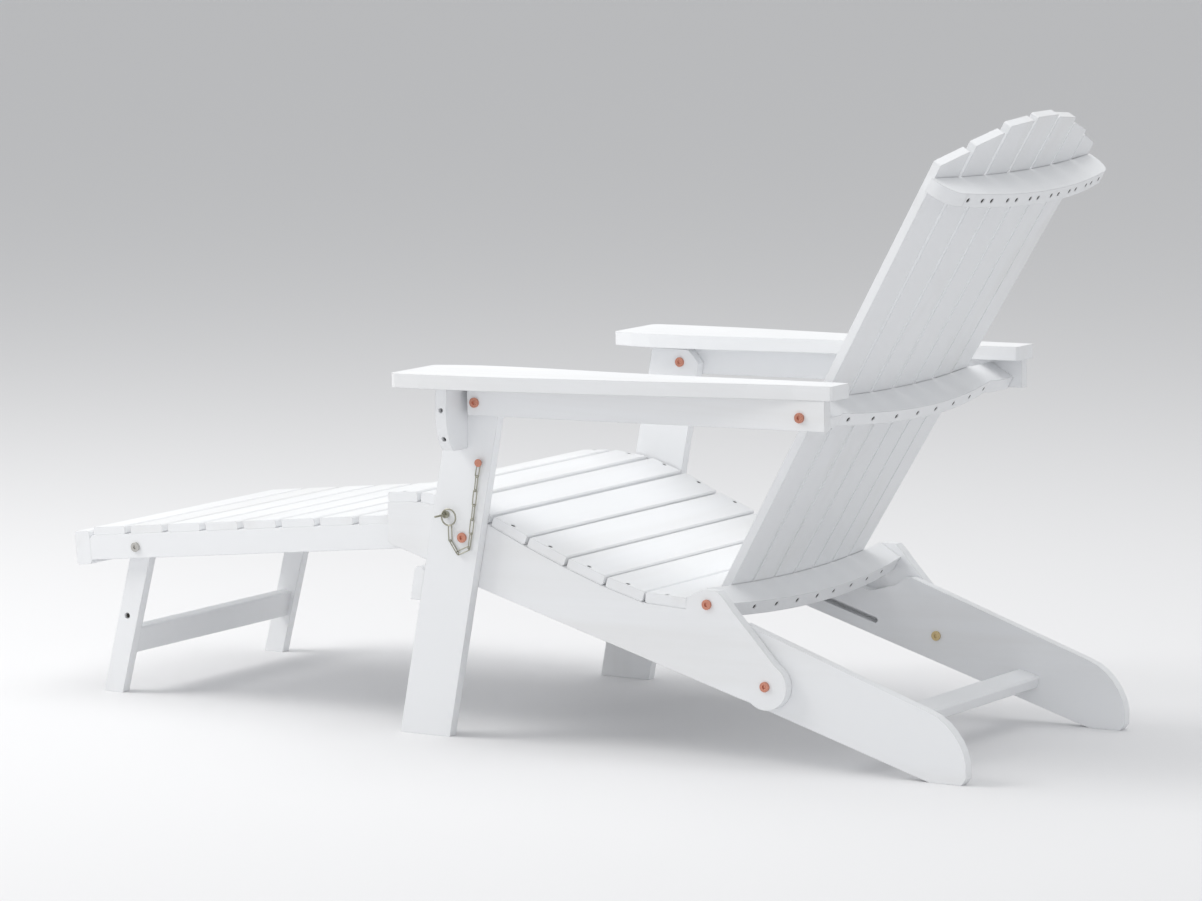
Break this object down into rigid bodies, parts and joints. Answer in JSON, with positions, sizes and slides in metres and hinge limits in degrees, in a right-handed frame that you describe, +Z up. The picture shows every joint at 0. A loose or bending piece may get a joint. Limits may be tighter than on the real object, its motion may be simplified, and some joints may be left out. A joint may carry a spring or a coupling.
{
  "type": "adirondack chair",
  "caption": "White folding adirondack chair with a fanned slat back, flared armrests, lock pins on chains and a slatted pull-out ottoman on its own folding legs.",
  "frame": {"origin": "on the floor, at the middle of the length and width of the chair with its ottoman out", "axes": "+Z up, the chair faces -Y, +X is the sitter's left"},
  "size_m": [0.736, 1.4781, 0.8929],
  "materials": {
    "painted_wood": "satin white paint",
    "copper_bolts": "satin",
    "brass_caps": "satin",
    "steel_fittings": "satin",
    "dark_screws": "satin"
  },
  "bodies": {
    "seat_frame": {"seat_rail_left": "painted_wood", "seat_rail_right": "painted_wood", "rear_board_left": "painted_wood", "rear_board_right": "painted_wood", "rear_stretcher": "painted_wood", "seat_slat_1": "painted_wood", "seat_slat_2": "painted_wood", "seat_slat_3": "painted_wood", "seat_slat_4": "painted_wood", "seat_slat_5": "painted_wood", "seat_slat_6": "painted_wood", "seat_slat_7": "painted_wood", "seat_slat_8": "painted_wood", "seat_screws": "dark_screws", "frame_bolts": "copper_bolts", "lobe_nuts": "brass_caps"},
    "back": {"back_slat_1": "painted_wood", "back_slat_2": "painted_wood", "back_slat_3": "painted_wood", "back_slat_4": "painted_wood", "back_slat_5": "painted_wood", "back_slat_6": "painted_wood", "back_slat_7": "painted_wood", "top_cross": "painted_wood", "mid_cross": "painted_wood", "low_cross": "painted_wood", "back_screws": "dark_screws"},
    "front_legs": {"front_leg_left": "painted_wood", "front_leg_right": "painted_wood", "front_stretcher": "painted_wood", "corbel_left": "painted_wood", "corbel_right": "painted_wood", "leg_screws": "dark_screws", "leg_bolts": "copper_bolts", "pin_chains": "steel_fittings"},
    "arm_left": {"armrest_left": "painted_wood", "arm_rail_left": "painted_wood", "arm_bolts_left": "copper_bolts"},
    "arm_right": {"armrest_right": "painted_wood", "arm_rail_right": "painted_wood", "arm_bolts_right": "copper_bolts"},
    "pin_left": {"lock_pin_left": "steel_fittings"},
    "pin_right": {"lock_pin_right": "steel_fittings"},
    "ottoman_guide": {"guide_pins": "steel_fittings"},
    "ottoman": {"ott_rail_left": "painted_wood", "ott_rail_right": "painted_wood", "ott_cap": "painted_wood", "ott_slat_1": "painted_wood", "ott_slat_2": "painted_wood", "ott_slat_3": "painted_wood", "ott_slat_4": "painted_wood", "ott_slat_5": "painted_wood", "ott_slat_6": "painted_wood", "ott_slat_7": "painted_wood", "ott_slat_8": "painted_wood", "ott_bolts": "steel_fittings"},
    "ottoman_legs": {"ott_leg_left": "painted_wood", "ott_leg_right": "painted_wood", "ott_leg_bar": "painted_wood", "ott_leg_screws": "dark_screws"}
  },
  "joints": [
    {"name": "back_fold", "type": "hinge", "parent": "seat_frame", "child": "back", "pos_m": [0, 0.3477, 0.21843], "axis": [1, 0, 0], "range_deg": [0, 38.4]},
    {"name": "leg_fold", "type": "hinge", "parent": "seat_frame", "child": "front_legs", "pos_m": [0, -0.037, 0.285], "axis": [1, 0, 0], "range_deg": [0, 60]},
    {"name": "arm_left_swing", "type": "hinge", "parent": "front_legs", "child": "arm_left", "pos_m": [0.28, -0.006, 0.479], "axis": [1, 0, 0], "range_deg": [-48, 0]},
    {"name": "arm_right_swing", "type": "hinge", "parent": "front_legs", "child": "arm_right", "pos_m": [-0.28, -0.006, 0.479], "axis": [1, 0, 0], "range_deg": [-48, 0]},
    {"name": "pin_left_pull", "type": "slide", "parent": "front_legs", "child": "pin_left", "axis": [1, 0, 0], "range_m": [0, 0.03]},
    {"name": "pin_right_pull", "type": "slide", "parent": "front_legs", "child": "pin_right", "axis": [-1, 0, 0], "range_m": [0, 0.03]},
    {"name": "ottoman_slide", "type": "slide", "parent": "seat_frame", "child": "ottoman_guide", "axis": [0, 0.9565, -0.2917], "range_m": [0, 0.15]},
    {"name": "ottoman_tilt", "type": "hinge", "parent": "ottoman_guide", "child": "ottoman", "pos_m": [0.23, -0.129, 0.26966], "axis": [1, 0, 0], "range_deg": [-23, 0]},
    {"name": "ottoman_leg_fold", "type": "hinge", "parent": "ottoman", "child": "ottoman_legs", "pos_m": [0.21, -0.63001, 0.22104], "axis": [1, 0, 0], "range_deg": [0, 109]}
  ],
  "couplings": [
    {"joint": "leg_fold", "follows": "back_fold", "ratio": 1.5625},
    {"joint": "arm_left_swing", "follows": "back_fold", "ratio": -1.25},
    {"joint": "arm_right_swing", "follows": "back_fold", "ratio": -1.25},
    {"joint": "ottoman_tilt", "follows": "ottoman_slide", "rad_per_m": -2.67}
  ]
}
